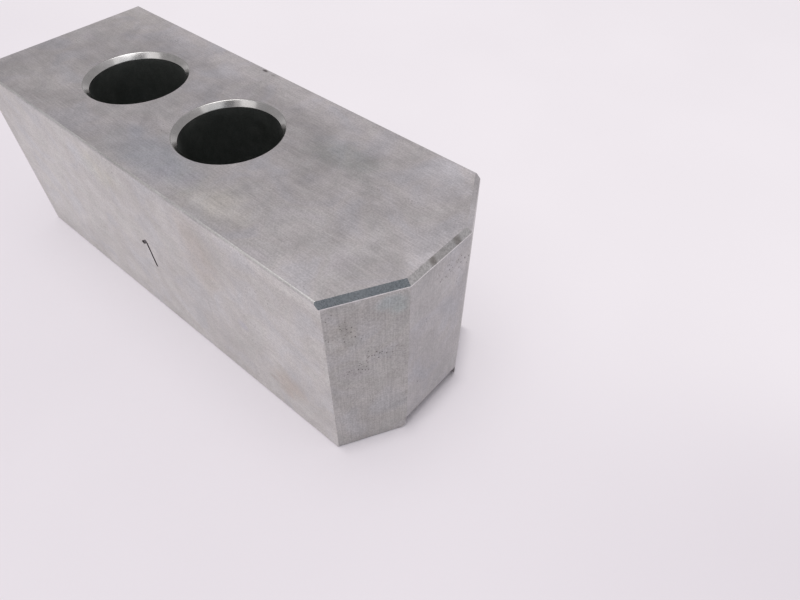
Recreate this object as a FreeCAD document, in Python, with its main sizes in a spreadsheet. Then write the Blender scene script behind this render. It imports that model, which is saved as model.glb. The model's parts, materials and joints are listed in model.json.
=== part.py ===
"""Soft top jaw for a power lathe chuck: one block of ground steel.

The jaw lies on its base, centred on the origin in plan, with +X towards the nose that is turned
to grip the work, +Y across the jaw and +Z up. Lengths are in millimetres, angles in degrees.
"""
import FreeCAD, Part
import math
import os
import Sketcher
from FreeCAD import Vector

SIZES = {
    # the block
    "jaw_length": 110.0,
    "jaw_width": 40.0,
    "jaw_height": 42.0,
    # the nose: a flat tip between two faces that slope back to the sides
    "nose_flat_width": 15.5,
    "nose_face_angle": 30.0,
    "nose_top_chamfer": 1.0,
    # the sharp edges left by the grinder are broken all round
    "edge_break": 0.4,
    # two M12 socket head screws in a line, the first one set in from the back face
    "screw_setback": 29.0,
    "screw_pitch": 30.0,
    "screw_count": 2,
    "screw_hole_diameter": 13.5,
    "counterbore_diameter": 19.5,
    "counterbore_depth": 22.0,
    "counterbore_mouth_chamfer": 1.0,
    # the keyway that sits over the T-nuts and runs the length of the base
    "keyway_width": 16.0,
    "keyway_depth": 3.5,
    "keyway_mouth_chamfer": 1.0,
}
SHEET = "Sizes"
TOUCH = 1e-6

document = FreeCAD.newDocument("SoftJaw")


def write_sheet(sizes):
    """Puts each size in its own row: its name, its value and the alias that features use."""
    sheet = document.addObject("Spreadsheet::Sheet", SHEET)
    for row, (name, value) in enumerate(sizes.items(), start=1):
        sheet.set(f"A{row}", name)
        sheet.set(f"B{row}", str(value))
        sheet.setAlias(f"B{row}", name)
    document.recompute()
    return sheet


def origin_plane(body, role):
    return next(item for item in body.Origin.OriginFeatures if item.Role == role)


def new_sketch(body, name, plane):
    sketch = body.newObject("Sketcher::SketchObject", name)
    sketch.AttachmentSupport = [(origin_plane(body, plane), "")]
    sketch.MapMode = "FlatFace"
    return sketch


def add_outline(sketch, corners):
    """Draws a closed outline through the corners and joins each line to the next."""
    count = len(corners)
    for index in range(count):
        start = Vector(*corners[index], 0)
        end = Vector(*corners[(index + 1) % count], 0)
        sketch.addGeometry(Part.LineSegment(start, end), False)
    for index in range(count):
        sketch.addConstraint(Sketcher.Constraint("Coincident", index, 2, (index + 1) % count, 1))


def bind(sketch, name, constraint, expression):
    """Adds a named dimension to a sketch and ties it to the sheet."""
    index = sketch.addConstraint(constraint)
    sketch.renameConstraint(index, name)
    sketch.setExpression(f"Constraints.{name}", expression)


def edges_where(feature, wanted):
    """The names of the feature's edges whose middle point and two ends pass the test."""
    names = []
    for number, edge in enumerate(feature.Shape.Edges, start=1):
        ends = [vertex.Point for vertex in edge.Vertexes]
        middle = edge.valueAt((edge.FirstParameter + edge.LastParameter) / 2)
        if wanted(edge, middle, ends):
            names.append(f"Edge{number}")
    return names


def add_chamfer(body, name, base, edges, size):
    chamfer = body.newObject("PartDesign::Chamfer", name)
    chamfer.Base = (base, edges)
    chamfer.setExpression("Size", f"{SHEET}.{size}")
    document.recompute()
    return chamfer


sheet = write_sheet(SIZES)
jaw = document.addObject("PartDesign::Body", "Jaw")
jaw.Label = "soft_jaw"
document.recompute()

# The block: its plan is a bar with a three-sided nose, the same on both sides of the X axis.
half_length = sheet.jaw_length / 2
half_width = sheet.jaw_width / 2
half_flat = sheet.nose_flat_width / 2
shoulder = half_length - (half_width - half_flat) * math.tan(math.radians(sheet.nose_face_angle))
BACK, RIGHT_SIDE, RIGHT_NOSE, FLAT, LEFT_NOSE, LEFT_SIDE = range(6)
START, END = range(1, 3)
ORIGIN = X_AXIS = -1

plan = new_sketch(jaw, "JawPlan", "XY_Plane")
add_outline(plan, [
    (-half_length, half_width),
    (-half_length, -half_width),
    (shoulder, -half_width),
    (half_length, -half_flat),
    (half_length, half_flat),
    (shoulder, half_width),
])
for line in (BACK, FLAT):
    plan.addConstraint(Sketcher.Constraint("Symmetric", line, START, line, END, X_AXIS))
for line in (RIGHT_SIDE, LEFT_SIDE):
    plan.addConstraint(Sketcher.Constraint("Horizontal", line))
plan.addConstraint(Sketcher.Constraint("Equal", RIGHT_NOSE, LEFT_NOSE))
bind(plan, "width", Sketcher.Constraint("DistanceY", BACK, END, BACK, START, sheet.jaw_width),
     f"{SHEET}.jaw_width")
bind(plan, "length", Sketcher.Constraint("DistanceX", BACK, START, FLAT, END, sheet.jaw_length),
     f"{SHEET}.jaw_length")
bind(plan, "half_length", Sketcher.Constraint("DistanceX", ORIGIN, START, FLAT, END, half_length),
     f"{SHEET}.jaw_length / 2")
bind(plan, "flat", Sketcher.Constraint("DistanceY", FLAT, START, FLAT, END, sheet.nose_flat_width),
     f"{SHEET}.nose_flat_width")
bind(plan, "nose_depth",
     Sketcher.Constraint("DistanceX", RIGHT_NOSE, START, RIGHT_NOSE, END, half_length - shoulder),
     f"({SHEET}.jaw_width - {SHEET}.nose_flat_width) / 2 * tan({SHEET}.nose_face_angle * 1 deg)")

block = jaw.newObject("PartDesign::Pad", "Block")
block.Profile = plan
block.setExpression("Length", f"{SHEET}.jaw_height")
document.recompute()
top = sheet.jaw_height


def is_nose_top(edge, middle, ends):
    return abs(middle.z - top) < TOUCH and middle.x > shoulder + TOUCH


nose_chamfer = add_chamfer(jaw, "NoseTopChamfer", block, edges_where(block, is_nose_top),
                           "nose_top_chamfer")


def is_grinder_edge(edge, middle, ends):
    """Every outer edge but the chamfered nose top and the blunt corners of the nose flat."""
    upright = abs(ends[0].x - ends[1].x) < TOUCH and abs(ends[0].y - ends[1].y) < TOUCH
    if upright:
        return abs(abs(middle.y) - half_width) < TOUCH
    on_base = abs(middle.z) < TOUCH
    on_top = abs(middle.z - top) < TOUCH and middle.x < shoulder - TOUCH
    return on_base or on_top


broken = add_chamfer(jaw, "EdgeBreak", nose_chamfer, edges_where(nose_chamfer, is_grinder_edge),
                     "edge_break")

# The screw seats: one counterbored clearance hole, copied along the jaw, each with a 45 degree
# mouth for the screw head.
centres = new_sketch(jaw, "FirstScrewCentre", "XY_Plane")
centres.setExpression("AttachmentOffset.Base.z", f"{SHEET}.jaw_height")
first_screw = sheet.screw_setback - half_length
centres.addGeometry(Part.Circle(Vector(first_screw, 0, 0), Vector(0, 0, 1),
                                sheet.screw_hole_diameter / 2), False)
centres.addConstraint(Sketcher.Constraint("PointOnObject", 0, 3, X_AXIS))
bind(centres, "diameter", Sketcher.Constraint("Diameter", 0, sheet.screw_hole_diameter),
     f"{SHEET}.screw_hole_diameter")
bind(centres, "setback", Sketcher.Constraint("DistanceX", 0, 3, ORIGIN, START, -first_screw),
     f"{SHEET}.jaw_length / 2 - {SHEET}.screw_setback")
document.recompute()

screw_seat = jaw.newObject("PartDesign::Hole", "ScrewSeat")
screw_seat.Profile = centres
screw_seat.Threaded = False
screw_seat.DepthType = "ThroughAll"
screw_seat.HoleCutType = "Counterbore"
screw_seat.HoleCutCustomValues = True
screw_seat.setExpression("Diameter", f"{SHEET}.screw_hole_diameter")
screw_seat.setExpression("HoleCutDiameter", f"{SHEET}.counterbore_diameter")
screw_seat.setExpression("HoleCutDepth", f"{SHEET}.counterbore_depth")
document.recompute()

screw_row = jaw.newObject("PartDesign::LinearPattern", "ScrewRow")
screw_row.Originals = [screw_seat]
screw_row.Direction = (plan, ["H_Axis"])
screw_row.Mode = "Spacing"
screw_row.setExpression("Offset", f"{SHEET}.screw_pitch")
screw_row.setExpression("Occurrences", f"{SHEET}.screw_count")
jaw.Tip = screw_row
document.recompute()


def is_counterbore_mouth(edge, middle, ends):
    return len(ends) == 1 and abs(middle.z - top) < TOUCH


mouths = add_chamfer(jaw, "CounterboreMouths", screw_row,
                     edges_where(screw_row, is_counterbore_mouth), "counterbore_mouth_chamfer")

# The keyway: a rectangular slot along the middle of the base, open at both ends, with its two
# mouth corners chamfered.
half_key = sheet.keyway_width / 2
key_depth = sheet.keyway_depth
key_chamfer = sheet.keyway_mouth_chamfer
MOUTH, RIGHT_BEVEL, RIGHT_WALL, ROOF, LEFT_WALL, LEFT_BEVEL = range(6)
Y_AXIS = -2

section = new_sketch(jaw, "KeywaySection", "YZ_Plane")
add_outline(section, [
    (-half_key - key_chamfer, 0),
    (half_key + key_chamfer, 0),
    (half_key, key_chamfer),
    (half_key, key_depth),
    (-half_key, key_depth),
    (-half_key, key_chamfer),
])
section.addConstraint(Sketcher.Constraint("PointOnObject", MOUTH, START, X_AXIS))
for line in (MOUTH, ROOF):
    section.addConstraint(Sketcher.Constraint("Symmetric", line, START, line, END, Y_AXIS))
for line in (RIGHT_WALL, LEFT_WALL):
    section.addConstraint(Sketcher.Constraint("Vertical", line))
section.addConstraint(Sketcher.Constraint("Equal", RIGHT_WALL, LEFT_WALL))
bind(section, "width", Sketcher.Constraint("DistanceX", ROOF, END, ROOF, START, 2 * half_key),
     f"{SHEET}.keyway_width")
bind(section, "depth", Sketcher.Constraint("DistanceY", ORIGIN, START, ROOF, END, key_depth),
     f"{SHEET}.keyway_depth")
bind(section, "bevel_across", Sketcher.Constraint("DistanceX", RIGHT_BEVEL, END, MOUTH, END, key_chamfer),
     f"{SHEET}.keyway_mouth_chamfer")
bind(section, "bevel_up", Sketcher.Constraint("DistanceY", MOUTH, END, RIGHT_BEVEL, END, key_chamfer),
     f"{SHEET}.keyway_mouth_chamfer")

keyway = jaw.newObject("PartDesign::Pocket", "Keyway")
keyway.Profile = section
keyway.Type = "ThroughAll"
keyway.SideType = "Symmetric"
document.recompute()


def check_model():
    """Stops with a message if a feature failed or a cut took nothing away."""
    for item in document.Objects:
        if "Invalid" in item.State or "Error" in item.State:
            raise RuntimeError(f"{item.Label} did not build")
    chain = [block, nose_chamfer, broken, screw_seat, screw_row, mouths, keyway]
    for before, after in zip(chain, chain[1:]):
        if after.Shape.Volume >= before.Shape.Volume:
            raise RuntimeError(f"{after.Label} removed no steel")
    if jaw.Shape.isNull() or not jaw.Shape.isValid() or len(jaw.Shape.Solids) != 1:
        raise RuntimeError(f"{jaw.Label} is not one valid solid")


check_model()
os.makedirs("parts", exist_ok=True)
jaw.Shape.exportStep(f"parts/{jaw.Label}.step")
print(f"{jaw.Label}: {jaw.Shape.Volume / 1000:.1f} cubic centimetres")
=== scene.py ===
import json
import math

import bmesh
import bpy
from mathutils import Matrix, Vector


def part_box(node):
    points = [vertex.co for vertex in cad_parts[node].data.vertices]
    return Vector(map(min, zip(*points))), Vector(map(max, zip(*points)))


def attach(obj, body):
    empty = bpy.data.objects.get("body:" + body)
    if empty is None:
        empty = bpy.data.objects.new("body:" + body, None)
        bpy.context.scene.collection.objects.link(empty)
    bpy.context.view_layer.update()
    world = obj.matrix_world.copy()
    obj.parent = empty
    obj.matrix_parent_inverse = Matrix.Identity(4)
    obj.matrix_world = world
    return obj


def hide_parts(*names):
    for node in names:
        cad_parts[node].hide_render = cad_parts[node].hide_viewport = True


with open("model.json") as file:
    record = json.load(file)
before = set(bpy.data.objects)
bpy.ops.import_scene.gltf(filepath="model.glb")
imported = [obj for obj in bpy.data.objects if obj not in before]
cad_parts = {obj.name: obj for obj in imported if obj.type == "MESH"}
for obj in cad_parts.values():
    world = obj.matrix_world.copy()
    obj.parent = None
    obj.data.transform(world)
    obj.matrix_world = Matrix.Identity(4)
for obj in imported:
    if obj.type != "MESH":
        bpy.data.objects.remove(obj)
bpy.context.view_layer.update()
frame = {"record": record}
scene = bpy.context.scene

# ---------------------------------------------------------------------------
# Jaw blank.
# One piece of mild steel, ground square, then milled at the front to a shallow V
# with a flat tip. It is stained and lightly pitted, and its edges are filed.
jaw_low, jaw_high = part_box("soft_jaw")
millimetre = 0.001
back, near, base = (value / millimetre for value in jaw_low)
tip, far, top = (value / millimetre for value in jaw_high)
tip_flat = 15.5
nose_angle = math.radians(30)
shoulder = tip - (far - tip_flat / 2) * math.tan(nose_angle)
# the jaw's corners seen from above, in order round it from the back near one
plan = [Vector((back, near, 0)), Vector((shoulder, near, 0)), Vector((tip, -tip_flat / 2, 0)),
        Vector((tip, tip_flat / 2, 0)), Vector((shoulder, far, 0)), Vector((back, far, 0))]
up = Vector((0, 0, 1))
down = -up


def add_node(tree, kind, **sockets):
    """One shader node, with its properties and input sockets set by name."""
    made = tree.nodes.new(kind)
    for name, value in sockets.items():
        if hasattr(made, name):
            setattr(made, name, value)
            continue
        socket = made.inputs[name.replace("_", " ")]
        if isinstance(value, bpy.types.NodeSocket):
            tree.links.new(value, socket)
        else:
            socket.default_value = value
    return made


def arithmetic(tree, operation, first, second=0.0, third=0.0):
    """Result of one arithmetic step on numbers or sockets."""
    made = tree.nodes.new("ShaderNodeMath")
    made.operation = operation
    for socket, value in zip(made.inputs, (first, second, third)):
        if isinstance(value, bpy.types.NodeSocket):
            tree.links.new(value, socket)
        else:
            socket.default_value = value
    return made.outputs[0]


def blended(tree, factor, first, second, how="MIX"):
    """Colour part way from the first to the second."""
    made = tree.nodes.new("ShaderNodeMix")
    made.data_type = "RGBA"
    made.blend_type = how
    sockets = (made.inputs[0], made.inputs[6], made.inputs[7])
    for socket, value in zip(sockets, (factor, first, second)):
        if isinstance(value, bpy.types.NodeSocket):
            tree.links.new(value, socket)
        else:
            socket.default_value = value if isinstance(value, float) else (*value, 1.0)
    return made.outputs[2]


def spread(tree, value, low, high, to_low=0.0, to_high=1.0):
    """Value carried smoothly from the range low..high to another range."""
    made = tree.nodes.new("ShaderNodeMapRange")
    made.interpolation_type = "SMOOTHSTEP"
    tree.links.new(value, made.inputs[0])
    for socket, number in zip(made.inputs[1:5], (low, high, to_low, to_high)):
        socket.default_value = number
    return made.outputs[0]


def millimetres(tree, stretch=(1.0, 1.0, 1.0), shift=(0.0, 0.0, 0.0)):
    """Place on the piece in millimetres, stretched and shifted."""
    place = tree.nodes.new("ShaderNodeTexCoord").outputs["Object"]
    scaled = add_node(tree, "ShaderNodeMapping")
    tree.links.new(place, scaled.inputs["Vector"])
    scaled.inputs["Scale"].default_value = [s / millimetre for s in stretch]
    scaled.inputs["Location"].default_value = shift
    return scaled.outputs[0]


def cloud(tree, place, size, detail=4.0, rough=0.55, twist=0.0):
    """Cloudy pattern whose patches are about size millimetres across."""
    made = add_node(tree, "ShaderNodeTexNoise", Vector=place, Scale=1.0 / size,
                    Detail=detail, Roughness=rough, Distortion=twist)
    return made.outputs[0]


def within(tree, place, centre, half_size):
    """1 around a place in millimetres, fading softly to 0 at half_size from it."""
    away = add_node(tree, "ShaderNodeVectorMath", operation="SUBTRACT")
    tree.links.new(place, away.inputs[0])
    away.inputs[1].default_value = centre
    scaled = add_node(tree, "ShaderNodeVectorMath", operation="DIVIDE")
    tree.links.new(away.outputs[0], scaled.inputs[0])
    scaled.inputs[1].default_value = half_size
    reach = add_node(tree, "ShaderNodeVectorMath", operation="LENGTH")
    tree.links.new(scaled.outputs[0], reach.inputs[0])
    return spread(tree, reach.outputs["Value"], 0.25, 1.0, 1.0, 0.0)


def steel_finish(name, dark, light, roughness, lay=(0.03, 1.0, 1.0), seed=0.0,
                 film=0.5, pitting=0.35, grain=0.12, stains_and_sheen=(), marks_and_highlights=(), pitted=()):
    """Bare steel, cloudy from dark to light, with stained, marked and pitted places; some stained and
    marked places are painted sheen and painted highlights.
    """
    finish = bpy.data.materials.new(name)
    finish.use_nodes = True
    tree = finish.node_tree
    shader = tree.nodes["Principled BSDF"]
    shader.inputs["Metallic"].default_value = 1.0
    place = millimetres(tree, shift=(seed, 0.7 * seed, 1.3 * seed))
    lines = cloud(tree, millimetres(tree, stretch=lay), 0.22, 3.0, 0.6)
    smoke = cloud(tree, place, 13.0, 5.0, 0.62, 0.6)
    patch = cloud(tree, place, 3.2, 5.0, 0.65, 0.3)
    speckle = cloud(tree, place, 0.34, 2.0, 0.7)
    tone = arithmetic(tree, "MULTIPLY_ADD", patch, 0.5, arithmetic(tree, "MULTIPLY", smoke, 0.7))
    colour = blended(tree, spread(tree, tone, 0.40, 0.80), dark, light)

    # thin oil and fingerprint films: blue, brown and olive in turn
    hues = tree.nodes.new("ShaderNodeValToRGB")
    hues.color_ramp.interpolation = "B_SPLINE"
    shades = ((0.30, (0.93, 0.96, 1.01)), (0.43, (1.0, 1.0, 1.0)), (0.52, (1.02, 0.975, 0.94)),
              (0.60, (0.965, 0.985, 0.93)), (0.72, (1.0, 0.97, 0.985)))
    ramp = hues.color_ramp.elements
    while len(ramp) < len(shades):
        ramp.new(0.5)
    for step, (position, shade) in zip(ramp, shades):
        step.position, step.color = position, (*shade, 1.0)
    films = cloud(tree, millimetres(tree, shift=(40.0 + seed, 9.0, 5.0)), 9.0, 3.0, 0.5, 0.8)
    tree.links.new(films, hues.inputs[0])
    colour = blended(tree, film, colour, blended(tree, 1.0, colour, hues.outputs[0], "MULTIPLY"))

    # single stained places, painted sheen and pitted places have wandering outlines, and small marked
    # spots and painted highlights plain ones
    wander = add_node(tree, "ShaderNodeTexNoise", Vector=place, Scale=0.22, Detail=3.0)
    strayed = add_node(tree, "ShaderNodeVectorMath", operation="MULTIPLY_ADD")
    tree.links.new(wander.outputs["Color"], strayed.inputs[0])
    strayed.inputs[1].default_value = (6.0, 6.0, 6.0)
    tree.links.new(millimetres(tree, shift=(-3.0, -3.0, -3.0)), strayed.inputs[2])
    for centre, half_size, shade in stains_and_sheen:
        cover = within(tree, strayed.outputs[0], centre, half_size)
        colour = blended(tree, cover, colour, blended(tree, 1.0, colour, shade, "MULTIPLY"))
    for centre, half_size, shade in marks_and_highlights:
        cover = within(tree, millimetres(tree), centre, half_size)
        colour = blended(tree, cover, colour, blended(tree, 1.0, colour, shade, "MULTIPLY"))
    crowd = cloud(tree, millimetres(tree, shift=(3.0, seed, 70.0)), 7.0, 3.0, 0.6)
    crowd = spread(tree, crowd, 0.54, 0.72)
    for centre, half_size in pitted:
        cover = within(tree, strayed.outputs[0], centre, half_size)
        crowd = arithmetic(tree, "MAXIMUM", crowd, cover)

    # grain of the ground surface
    fine = arithmetic(tree, "MULTIPLY_ADD", speckle, 0.6, arithmetic(tree, "MULTIPLY", lines, 0.4))
    shade = spread(tree, fine, 0.36, 0.64, 1.0 - grain, 1.0 + grain)
    even_shade = add_node(tree, "ShaderNodeCombineColor", Red=shade, Green=shade, Blue=shade)
    colour = blended(tree, 1.0, colour, even_shade.outputs[0], "MULTIPLY")

    # corrosion pits, crowded in the pitted places
    cells = add_node(tree, "ShaderNodeTexVoronoi", Vector=place, Scale=1.6)
    pit = spread(tree, cells.outputs["Distance"], 0.12, 0.30, 1.0, 0.0)
    pit = arithmetic(tree, "MULTIPLY", arithmetic(tree, "MULTIPLY", pit, crowd), pitting)
    colour = blended(tree, pit, colour, (0.10, 0.088, 0.084))
    tree.links.new(colour, shader.inputs["Base Color"])

    rough = arithmetic(tree, "MULTIPLY_ADD", lines, 0.14, roughness - 0.15)
    rough = arithmetic(tree, "MULTIPLY_ADD", smoke, 0.16, rough)
    rough = arithmetic(tree, "MULTIPLY_ADD", pit, 0.3, rough)
    tree.links.new(rough, shader.inputs["Roughness"])
    # pits are sunk four times as deep as the ground lines, and smoother faces are flatter
    height = arithmetic(tree, "MULTIPLY_ADD", speckle, 0.5, lines)
    height = arithmetic(tree, "MULTIPLY_ADD", pit, -4.0, height)
    bump = add_node(tree, "ShaderNodeBump", Strength=1.0, Distance=4.4e-6 * roughness,
                    Height=height)
    tree.links.new(bump.outputs[0], shader.inputs["Normal"])
    return finish


# on the top, the wide lighter band along the far margin is a painted reflection, and the lighter
# patch at the nose end is a painted highlight
top_finish = steel_finish(
    "ground_top_face", (0.444, 0.421, 0.429), (0.579, 0.548, 0.56), 0.46, seed=3.0,
    stains_and_sheen=[((0.0, 19.5, 42.0), (75.0, 8.0, 20.0), (1.22, 1.22, 1.22)),
            ((-50.0, 15.0, 42.0), (10.0, 9.0, 9.0), (1.18, 1.18, 1.16)),
            ((-14.0, 10.5, 42.0), (7.0, 6.0, 9.0), (1.14, 1.14, 1.14)),
            ((-40.0, -11.0, 42.0), (14.0, 10.0, 9.0), (1.12, 1.12, 1.11)),
            ((0.0, -14.0, 42.0), (17.0, 6.5, 9.0), (0.84, 0.88, 0.93)),
            ((19.0, -15.5, 42.0), (10.0, 6.5, 9.0), (1.18, 1.18, 1.12)),
            ((26.0, 8.0, 42.0), (11.0, 5.5, 9.0), (0.84, 0.87, 0.86)),
            ((-55.0, 0.0, 42.0), (4.0, 30.0, 9.0), (1.08, 1.08, 1.08)),
            ((44.0, 16.0, 42.0), (13.0, 6.0, 9.0), (1.12, 1.12, 1.12)),
            ((55.0, 0.0, 42.0), (5.0, 10.0, 9.0), (1.15, 1.15, 1.15)),
            ((48.5, -11.5, 42.0), (6.0, 6.0, 9.0), (0.84, 0.84, 0.84))],
    marks_and_highlights=[((-7.5, 19.2, 42.0), (1.1, 0.55, 1.0), (0.30, 0.28, 0.28)),
           ((-4.9, 19.0, 42.0), (0.8, 0.4, 1.0), (0.75, 0.74, 0.74))],
    pitted=[((-34.0, 15.0, 42.0), (6.0, 3.0, 9.0))])
# on the long side, the first mark, a lighter strip along the top edge, is a painted highlight
side_finish = steel_finish(
    "ground_long_side", (0.556, 0.549, 0.533), (0.678, 0.673, 0.659), 0.46, seed=17.0,
    stains_and_sheen=[((-34.0, -20.0, 22.0), (46.0, 9.0, 30.0), (1.035, 1.035, 1.035)),
            ((17.0, -20.0, 32.0), (8.0, 9.0, 12.0), (0.93, 0.90, 0.87)),
            ((36.0, -20.0, 10.0), (6.0, 9.0, 6.0), (0.93, 0.88, 0.84)),
            ((-12.0, -20.0, 36.0), (9.0, 9.0, 5.0), (1.03, 1.03, 0.98))],
    marks_and_highlights=[((36.0, -20.0, 41.4), (24.0, 2.0, 3.0), (1.10, 1.10, 1.10)),
           ((14.7, -20.0, 17.0), (0.35, 1.0, 3.0), (0.86, 0.86, 0.86)),
           ((25.5, -20.0, 19.5), (2.2, 1.0, 1.8), (0.93, 0.94, 1.00)),
           ((31.5, -20.0, 8.5), (1.6, 1.0, 0.9), (0.84, 0.80, 0.78))])
upright_lines = (1.0, 1.0, 0.03)
nose_finish = steel_finish(
    "milled_nose_face", (0.40, 0.396, 0.386), (0.505, 0.50, 0.494), 0.48, lay=upright_lines,
    seed=29.0, pitting=0.9, grain=0.16,
    stains_and_sheen=[((54.0, -10.5, 38.5), (3.5, 4.0, 3.0), (0.94, 1.02, 1.04)),
            ((53.8, -10.0, 31.0), (3.0, 4.0, 5.0), (1.08, 1.08, 1.08)),
            ((49.8, -17.0, 33.0), (2.5, 3.5, 5.0), (0.93, 0.92, 0.88))],
    pitted=[((50.3, -15.7, 23.6), (3.2, 4.5, 2.8)), ((52.2, -12.6, 26.4), (3.2, 4.5, 2.8)),
            ((50.0, -16.4, 32.5), (2.5, 3.5, 5.0))])
tip_finish = steel_finish(
    "milled_tip_face", (0.42, 0.415, 0.42), (0.51, 0.503, 0.507), 0.48, lay=upright_lines,
    seed=41.0, pitting=0.9, stains_and_sheen=[((55.0, 2.5, 35.5), (9.0, 7.0, 7.0), (1.09, 1.09, 1.09))],
    pitted=[((55.0, 5.8, 36.0), (9.0, 2.6, 6.0)), ((55.0, 1.5, 37.5), (9.0, 4.0, 2.6))])
# the filed edge is painted lighter along the front of the near top edge, a painted highlight
edge_finish = steel_finish(
    "filed_edge", (0.53, 0.513, 0.503), (0.66, 0.645, 0.64), 0.50, seed=53.0, film=0.2,
    marks_and_highlights=[((40.0, -20.0, 42.0), (28.0, 2.0, 3.0), (1.18, 1.18, 1.18))])
# the burr is coloured brighter than any face: a painted highlight line below each chamfer
burr_highlight_finish = steel_finish(
    "burr_painted_highlight", (0.66, 0.65, 0.645), (0.78, 0.77, 0.765), 0.40, seed=61.0, film=0.2)
# the near chamfer's dark bluish colour is a painted reflection of a dark room, and the same colour on
# the nose walls' base breaks is painted shade at the foot
painted_dark_slate = steel_finish(
    "milled_chamfer_painted_dark", (0.345, 0.365, 0.385), (0.445, 0.46, 0.475), 0.27,
    seed=67.0, film=0.4, grain=0.15)
tip_chamfer_finish = steel_finish(
    "milled_tip_chamfer", (0.525, 0.508, 0.502), (0.66, 0.64, 0.635), 0.34,
    seed=71.0, film=0.2, grain=0.16, pitting=0.6,
    marks_and_highlights=[((54.5, -1.8, 41.5), (2.0, 1.0, 2.0), (0.62, 0.60, 0.58)),
           ((54.5, 0.6, 41.5), (2.0, 3.0, 2.0), (0.88, 0.87, 0.86)),
           ((54.5, 4.3, 41.5), (2.0, 1.1, 2.0), (0.66, 0.64, 0.62))])
# the far chamfer is darker than the tip chamfer, a painted shade band, and its mark paints it lighter
# towards the tip, a painted highlight
far_chamfer_shade_finish = steel_finish(
    "milled_far_chamfer_painted_shade", (0.40, 0.385, 0.39), (0.51, 0.49, 0.495), 0.42, seed=73.0, film=0.3,
    marks_and_highlights=[((54.6, 8.4, 41.5), (12.0, 12.0, 6.0), (1.30, 1.30, 1.30))])
base_finish = steel_finish(
    "ground_base", (0.48, 0.465, 0.46), (0.62, 0.60, 0.59), 0.44, seed=79.0)
finishes = [top_finish, side_finish, nose_finish, tip_finish, edge_finish, burr_highlight_finish,
            painted_dark_slate, tip_chamfer_finish, far_chamfer_shade_finish, base_finish]


def flatten(blank, point, outward, finish):
    """Take off all that lies beyond a plane, and close the cut with a flat face."""
    shape = blank.verts[:] + blank.edges[:] + blank.faces[:]
    cut = bmesh.ops.bisect_plane(blank, geom=shape, dist=1e-6, plane_co=point,
                                 plane_no=outward, clear_outer=True)
    rim = [part for part in cut["geom_cut"] if isinstance(part, bmesh.types.BMEdge)]
    if len(rim) > 2:
        for face in bmesh.ops.edgeloop_fill(blank, edges=rim)["faces"]:
            face.material_index = finishes.index(finish)


def round_edge(blank, start, end, one, two, radius, finish, facets=3):
    """Round the edge from start to end, where the faces facing one and two meet. The end argument is
    not used.
    """
    inward = (one + two) / (1 + one.dot(two))
    for step in range(facets):
        outward = one.slerp(two, (step + 0.5) / facets)
        flatten(blank, start + (outward - inward) * radius, outward, finish)


blank = bmesh.new()
bmesh.ops.create_cube(blank, size=1.0)
for corner in blank.verts:
    corner.co = Vector((corner.co.x * (tip - back) + (tip + back) / 2,
                        corner.co.y * (far - near) + (far + near) / 2,
                        corner.co.z * (top - base) + (top + base) / 2))
for face in blank.faces:
    finish = side_finish
    if face.normal.x > 0.5:
        finish = tip_finish
    elif face.normal.z > 0.5:
        finish = top_finish
    elif face.normal.z < -0.5:
        finish = base_finish
    face.material_index = finishes.index(finish)

# each wall runs from one corner of the plan to the next, and faces outward
facing = []
for start, end in zip(plan, plan[1:] + plan[:1]):
    run = (end - start).normalized()
    facing.append(Vector((run.y, -run.x, 0)))
near_side, near_nose, tip_wall, far_nose, far_side, back_wall = range(len(plan))
flatten(blank, plan[near_nose], facing[near_nose], nose_finish)
flatten(blank, plan[far_nose], facing[far_nose], nose_finish)

# the three nose edges carry a milled chamfer, with a fine rounded burr below it; the near chamfer is
# painted dark as a reflection, the far one painted darker as shade, and the burr painted bright as a
# highlight line
chamfer = 1.0
chamfer_foot = up * (top - chamfer)
chamfered = {near_nose: painted_dark_slate, tip_wall: tip_chamfer_finish, far_nose: far_chamfer_shade_finish}
for wall, finish in chamfered.items():
    flatten(blank, plan[wall] + chamfer_foot, (facing[wall] + up).normalized(), finish)
burr_radius = 0.3
for wall in chamfered:
    round_edge(blank, plan[wall] + chamfer_foot, plan[wall + 1] + chamfer_foot, facing[wall],
               (facing[wall] + up).normalized(), burr_radius, burr_highlight_finish, facets=2)

# filed breaks on the other edges: along the top, down the corners and round the base
edge_break = 0.4
handled_break = 0.5
tip_break = 0.3
for wall, radius in ((near_side, handled_break), (far_side, edge_break), (back_wall, edge_break)):
    round_edge(blank, plan[wall] + up * top, plan[(wall + 1) % len(plan)] + up * top,
               facing[wall], up, radius, edge_finish)
for corner, place in enumerate(plan):
    at_tip = corner in (tip_wall, far_nose)
    round_edge(blank, place, place + up * top, facing[corner - 1], facing[corner],
               tip_break if at_tip else edge_break, tip_finish if at_tip else side_finish)
# the base breaks under the nose walls take the dark chamfer colour: painted shade at the foot
for wall in range(len(plan)):
    round_edge(blank, plan[wall], plan[(wall + 1) % len(plan)], facing[wall], down, edge_break,
               painted_dark_slate if wall in chamfered else edge_finish)


def as_piece(name, mesh, skins):
    """Blender object from a mesh worked in millimetres."""
    data = bpy.data.meshes.new(name)
    mesh.transform(Matrix.Scale(millimetre, 4))
    bmesh.ops.recalc_face_normals(mesh, faces=mesh.faces)
    mesh.to_mesh(data)
    mesh.free()
    for skin in skins:
        data.materials.append(skin)
    piece = bpy.data.objects.new(name, data)
    scene.collection.objects.link(piece)
    return piece


jaw_block = as_piece("jaw_block", blank, finishes)

# ---------------------------------------------------------------------------
# Screw seats.
# Two counterbored holes for socket head cap screws, drilled and counterbored
# in one setting, with their walls coloured dark; each mouth is countersunk afterwards.
mounts = {mount["name"]: mount for mount in frame["record"]["mounts"]}
screw_radius = mounts["screw_holes"]["dims"]["hole_r_mm"]

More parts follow.
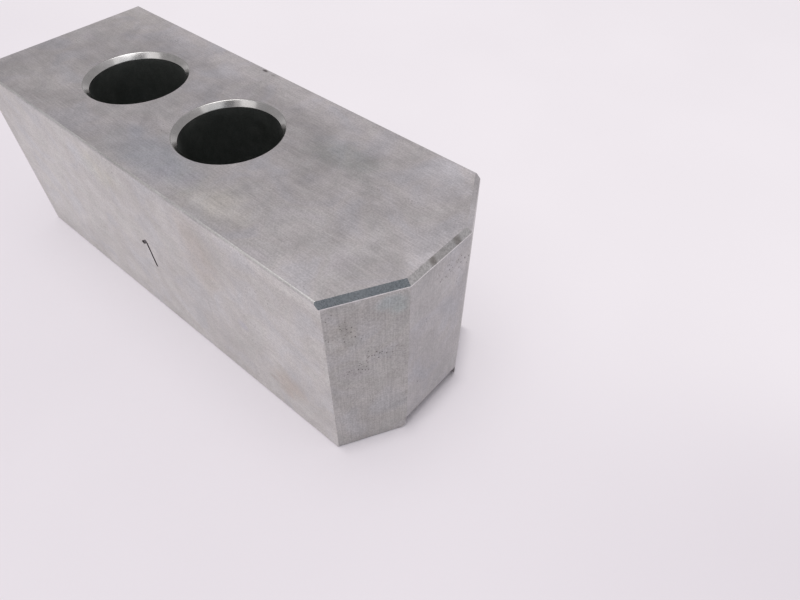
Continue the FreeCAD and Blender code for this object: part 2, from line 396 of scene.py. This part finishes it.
mouth_finish = steel_finish(
    "countersunk_mouth", (0.44, 0.428, 0.42), (0.53, 0.515, 0.505), 0.17,
    seed=91.0, film=0.2, grain=0.05)
bore_finish = steel_finish(
    "dark_bore_wall", (0.195, 0.207, 0.198), (0.293, 0.308, 0.296), 0.48, seed=101.0, film=0.2)


def turned_cutter(name, centre, profile, skins, sides=144):
    """Solid turned about a vertical axis, from steps of radius, height and skin number."""
    mesh = bmesh.new()
    rings = []
    for radius, height, _ in profile:
        ring = []
        for side in range(sides):
            turn = 2 * math.pi * side / sides
            ring.append(mesh.verts.new((centre[0] + radius * math.cos(turn),
                                        centre[1] + radius * math.sin(turn), height)))
        rings.append(ring)
    for lower, upper, (_, _, skin) in zip(rings, rings[1:], profile):
        for side in range(sides):
            other = (side + 1) % sides
            face = mesh.faces.new((lower[side], lower[other], upper[other], upper[side]))
            face.material_index = skin
    mesh.faces.new(list(reversed(rings[0]))).material_index = profile[0][2]
    mesh.faces.new(rings[-1]).material_index = profile[-1][2]
    return as_piece(name, mesh, skins)


def machine_away(piece, cutter):
    """Take the cutter's shape out of the piece; the cut faces keep the cutter's finish."""
    step = piece.modifiers.new(cutter.name, "BOOLEAN")
    step.operation = "DIFFERENCE"
    step.solver = "EXACT"
    step.material_mode = "TRANSFER"
    step.object = cutter
    seen = piece.evaluated_get(bpy.context.evaluated_depsgraph_get())
    finished = bpy.data.meshes.new_from_object(seen)
    piece.modifiers.clear()
    piece.data = finished
    bpy.data.objects.remove(cutter)


# both edges of the mouth's countersink are eased by a fine facet
eased = 0.1
overrun = 1.0
in_mouth, in_bore = 0, 1
for name in ("counterbore_back", "counterbore_front"):
    x, y, middle = (value / millimetre for value in mounts[name]["pos_m"])
    seat_radius = mounts[name]["dims"]["r_mm"]
    half_depth = mounts[name]["dims"]["length_mm"] / 2
    seat = middle - half_depth
    mouth = middle + half_depth
    mouth_radius = seat_radius + (top - mouth)
    profile = [(screw_radius, base - overrun, in_bore),
               (screw_radius, seat, in_bore),
               (seat_radius, seat, in_bore),
               (seat_radius, mouth - 1.4 * eased, in_mouth),
               (seat_radius + 0.5 * eased, mouth - 0.2 * eased, in_mouth),
               (mouth_radius - 0.6 * eased, top - 1.1 * eased, in_mouth),
               (mouth_radius + eased, top, in_mouth),
               (mouth_radius + 6 * eased, top + 2 * eased, in_mouth)]
    cutter = turned_cutter(f"{name}_cutter", (x, y), profile, [mouth_finish, bore_finish])
    machine_away(jaw_block, cutter)

# ---------------------------------------------------------------------------
# Keyway.
# A slot milled the whole length of the base, which sits on the key of the
# master jaw. Its mouth is chamfered on both sides.
keyway_width, keyway_depth, keyway_chamfer = 16.0, 3.5, 1.0
root_corner = 0.2
below_base = 0.5
past_end = 2.0
# the keyway's darker colour is painted shade inside the slot
keyway_shade_finish = steel_finish(
    "milled_keyway_painted_shade", (0.36, 0.35, 0.345), (0.50, 0.485, 0.48), 0.42, seed=113.0)
half = keyway_width / 2
roof = base + keyway_depth
flare = half + keyway_chamfer + below_base
right_half = [(flare, base - below_base), (half, base + keyway_chamfer),
              (half, roof - root_corner), (half - root_corner, roof)]
section = right_half + [(-y, z) for y, z in reversed(right_half)]
slot_mesh = bmesh.new()
ends = [[slot_mesh.verts.new((x, y, z)) for y, z in section]
        for x in (back - past_end, tip + past_end)]
slot_mesh.faces.new(ends[0])
slot_mesh.faces.new(list(reversed(ends[1])))
for step in range(len(section)):
    other = (step + 1) % len(section)
    slot_mesh.faces.new((ends[0][step], ends[0][other], ends[1][other], ends[1][step]))
machine_away(jaw_block, as_piece("keyway_cutter", slot_mesh, [keyway_shade_finish]))

# ---------------------------------------------------------------------------
# Jaw number.
# A plain 1 cut by hand into the long side with a pointed tool, and darkened,
# so that the jaw goes back on its own slide of the chuck.
number_finish = steel_finish(
    "scribed_number", (0.10, 0.09, 0.092), (0.18, 0.165, 0.17), 0.55, seed=127.0)
cut_depth = 0.14
cutter_proud = 0.3
round_steps = 8
# each stroke runs from one place on the side to another, and has half its width
strokes = [((-4.8, 21.95), (-3.35, 23.0), 0.42), ((-3.2, 22.7), (-2.75, 16.5), 0.33)]
for number, (start, end, half_width) in enumerate(strokes):
    run = (Vector(end) - Vector(start)).normalized()
    side = Vector((-run.y, run.x))
    outline = []
    for centre, first in ((Vector(start), 90), (Vector(end), -90)):
        for step in range(round_steps + 1):
            angle = math.radians(first + step * 180 / round_steps)
            outline.append(centre + (run * math.cos(angle) + side * math.sin(angle)) * half_width)
    mesh = bmesh.new()
    outer = [mesh.verts.new((p.x, near - cutter_proud, p.y)) for p in outline]
    inner = [mesh.verts.new((p.x, near + cut_depth, p.y)) for p in outline]
    mesh.faces.new(outer)
    mesh.faces.new(list(reversed(inner)))
    for step in range(len(outline)):
        other = (step + 1) % len(outline)
        mesh.faces.new((outer[step], outer[other], inner[other], inner[step]))
    machine_away(jaw_block, as_piece(f"number_cutter_{number}", mesh, [number_finish]))

# rounded edges shade smoothly, and the milled chamfers stay crisp and flat
smooth_below = math.radians(38)
jaw_block.data.shade_smooth()
jaw_block.data.set_sharp_from_angle(angle=smooth_below)
crisp = [jaw_block.data.materials.find(finish.name) for finish in chamfered.values()]
for face in jaw_block.data.polygons:
    if face.material_index in crisp:
        for loop in face.loop_indices:
            jaw_block.data.edges[jaw_block.data.loops[loop].edge_index].use_edge_sharp = True
even = jaw_block.modifiers.new("even_shading", "WEIGHTED_NORMAL")
even.keep_sharp = True
even.weight = 100
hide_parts("soft_jaw")
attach(jaw_block, "root")

# ---------------------------------------------------------------------------
# Table.
# A pale matt sheet that the jaw stands on, set a hair below the ground base. It
# is wide enough to fill the view from every side.
sheet_radius = 2000.0
hair = 0.02
sheet = bmesh.new()
bmesh.ops.create_circle(sheet, cap_ends=True, segments=96, radius=sheet_radius)
bmesh.ops.translate(sheet, verts=sheet.verts, vec=down * hair)
table_top = as_piece("table_top", sheet, [])
paint = bpy.data.materials.new("pale_sheet")
paint.use_nodes = True
tree = paint.node_tree
matt = tree.nodes["Principled BSDF"]
matt.inputs["Roughness"].default_value = 0.7
matt.inputs["Specular IOR Level"].default_value = 0.2
weave = cloud(tree, millimetres(tree), 1.2, 3.0, 0.6)
wash = cloud(tree, millimetres(tree), 60.0, 2.0, 0.5)
pale = blended(tree, spread(tree, wash, 0.35, 0.65), (0.855, 0.805, 0.845), (0.885, 0.835, 0.875))
tree.links.new(pale, matt.inputs["Base Color"])
paper = add_node(tree, "ShaderNodeBump", Strength=0.5, Distance=0.00003, Height=weave)
tree.links.new(paper.outputs[0], matt.inputs["Normal"])
# half of the sheet's brightness is its own glow, a painted falloff of light: brighter towards the far
# side and dimmer ahead of the nose; under the jaw and right at its foot there is none, a painted
# contact shadow
where = tree.nodes.new("ShaderNodeSeparateXYZ")
tree.links.new(millimetres(tree), where.inputs[0])
ahead = where.outputs["X"]
sideways = arithmetic(tree, "ABSOLUTE", where.outputs["Y"])
white_with_painted_falloff = spread(tree, where.outputs["Y"], -40.0, 80.0)
white_with_painted_falloff = blended(tree, white_with_painted_falloff, (0.82, 0.765, 0.815), (0.965, 0.915, 0.95))
painted_shade_ahead_of_nose = within(tree, millimetres(tree), (135.0, 0.0, 0.0), (75.0, 62.0, 40.0))
white_with_painted_falloff = blended(tree, painted_shade_ahead_of_nose, white_with_painted_falloff, (0.76, 0.705, 0.755))
nose_plane = -tip * math.cos(nose_angle) - tip_flat / 2 * math.sin(nose_angle)
from_nose = arithmetic(tree, "MULTIPLY_ADD", sideways, math.sin(nose_angle), nose_plane)
from_nose = arithmetic(tree, "MULTIPLY_ADD", ahead, math.cos(nose_angle), from_nose)
from_nose = arithmetic(tree, "MAXIMUM", from_nose, arithmetic(tree, "SUBTRACT", ahead, tip))
from_side = arithmetic(tree, "MAXIMUM", arithmetic(tree, "SUBTRACT", sideways, far),
                       arithmetic(tree, "SUBTRACT", back, ahead))
outside_painted_foot_shade = arithmetic(tree, "MAXIMUM", spread(tree, from_nose, -1.0, 3.5),
                       spread(tree, from_side, -1.0, 0.5))
rays = tree.nodes.new("ShaderNodeLightPath")
seen = arithmetic(tree, "MAXIMUM", rays.outputs["Is Glossy Ray"], rays.outputs["Is Transmission Ray"])
seen = arithmetic(tree, "MAXIMUM", rays.outputs["Is Camera Ray"], seen)
seen = arithmetic(tree, "MULTIPLY", seen, outside_painted_foot_shade)
shown = add_node(tree, "ShaderNodeMixShader")
tree.links.new(arithmetic(tree, "MULTIPLY", seen, 0.5), shown.inputs[0])
tree.links.new(matt.outputs[0], shown.inputs[1])
glow = add_node(tree, "ShaderNodeEmission", Color=white_with_painted_falloff, Strength=1.0)
tree.links.new(glow.outputs[0], shown.inputs[2])
tree.links.new(shown.outputs[0], tree.nodes["Material Output"].inputs["Surface"])
table_top.data.materials.append(paint)

# ---------------------------------------------------------------------------
# Room light and lamps.
# A pale room, with light walls low down, mid-grey above and a bright ceiling. A wide
# soft lamp hangs overhead, a small one on the near side and one ahead of the nose.
world = bpy.data.worlds.new("studio_room")
scene.world = world
world.use_nodes = True
tree = world.node_tree
sky = tree.nodes["Background"]
heading = tree.nodes.new("ShaderNodeTexCoord").outputs["Generated"]
rise = tree.nodes.new("ShaderNodeSeparateXYZ")
tree.links.new(heading, rise.inputs[0])
walls = tree.nodes.new("ShaderNodeValToRGB")
tree.links.new(rise.outputs["Z"], walls.inputs[0])
levels = ((0.0, 0.80), (0.10, 0.74), (0.28, 0.48), (0.45, 0.48),
          (0.68, 0.50), (0.82, 0.66), (1.0, 0.95))
stops = walls.color_ramp.elements
while len(stops) < len(levels):
    stops.new(0.5)
for stop, (height, level) in zip(stops, levels):
    stop.position, stop.color = height, (level, 0.985 * level, 1.01 * level, 1.0)
room = walls.outputs[0]


def shaded_room(room, direction, inner, outer, level):
    """The room with one soft dark zone, seen in the given direction."""
    turned = add_node(tree, "ShaderNodeVectorMath", operation="DOT_PRODUCT")
    tree.links.new(heading, turned.inputs[0])
    turned.inputs[1].default_value = Vector(direction).normalized()
    zone = spread(tree, turned.outputs["Value"],
                  math.cos(math.radians(outer)), math.cos(math.radians(inner)))
    return blended(tree, zone, room, level)


room = shaded_room(room, (0.731, -0.226, 0.643), 12.0, 34.0, (0.22, 0.24, 0.27))
room = shaded_room(room, (0.30, -0.41, 0.86), 3.0, 9.0, (0.25, 0.25, 0.26))
tree.links.new(room, sky.inputs["Color"])
sky.inputs["Strength"].default_value = 1.0

jaw_middle = Vector((0.0, 0.0, 0.021))
lamps = [("overhead_lamp", Vector((0.01, -0.03, 0.85)), 0.62, 2.3),
         ("near_lamp", Vector((-0.07, -0.63, 0.775)) * 0.6, 0.26, 0.11),
         ("front_lamp", Vector((0.50, -0.01, 0.86)) * 0.6, 0.34, 0.175)]
for name, place, width, watts in lamps:
    light = bpy.data.lights.new(name, "AREA")
    light.shape, light.size, light.energy = "DISK", width, watts
    lamp = bpy.data.objects.new(name, light)
    scene.collection.objects.link(lamp)
    lamp.location = jaw_middle + place
    lamp.rotation_euler = (-place).to_track_quat("-Z", "Y").to_euler()

# ---------------------------------------------------------------------------
# Camera.
# Above the nose, on the near side, looking down and back along the jaw.
lens = bpy.data.cameras.new("camera")
lens.lens, lens.sensor_width = 27.356, 36.0
lens.clip_start, lens.clip_end = 0.005, 20.0
camera = bpy.data.objects.new("camera", lens)
scene.collection.objects.link(camera)
camera.location = (0.09258, -0.05543, 0.10745)
tilt, roll, turn = 41.141, -0.434, 40.269
camera.rotation_euler = [math.radians(angle) for angle in (tilt, roll, turn)]
scene.camera = camera
scene.view_settings.view_transform = "Standard"
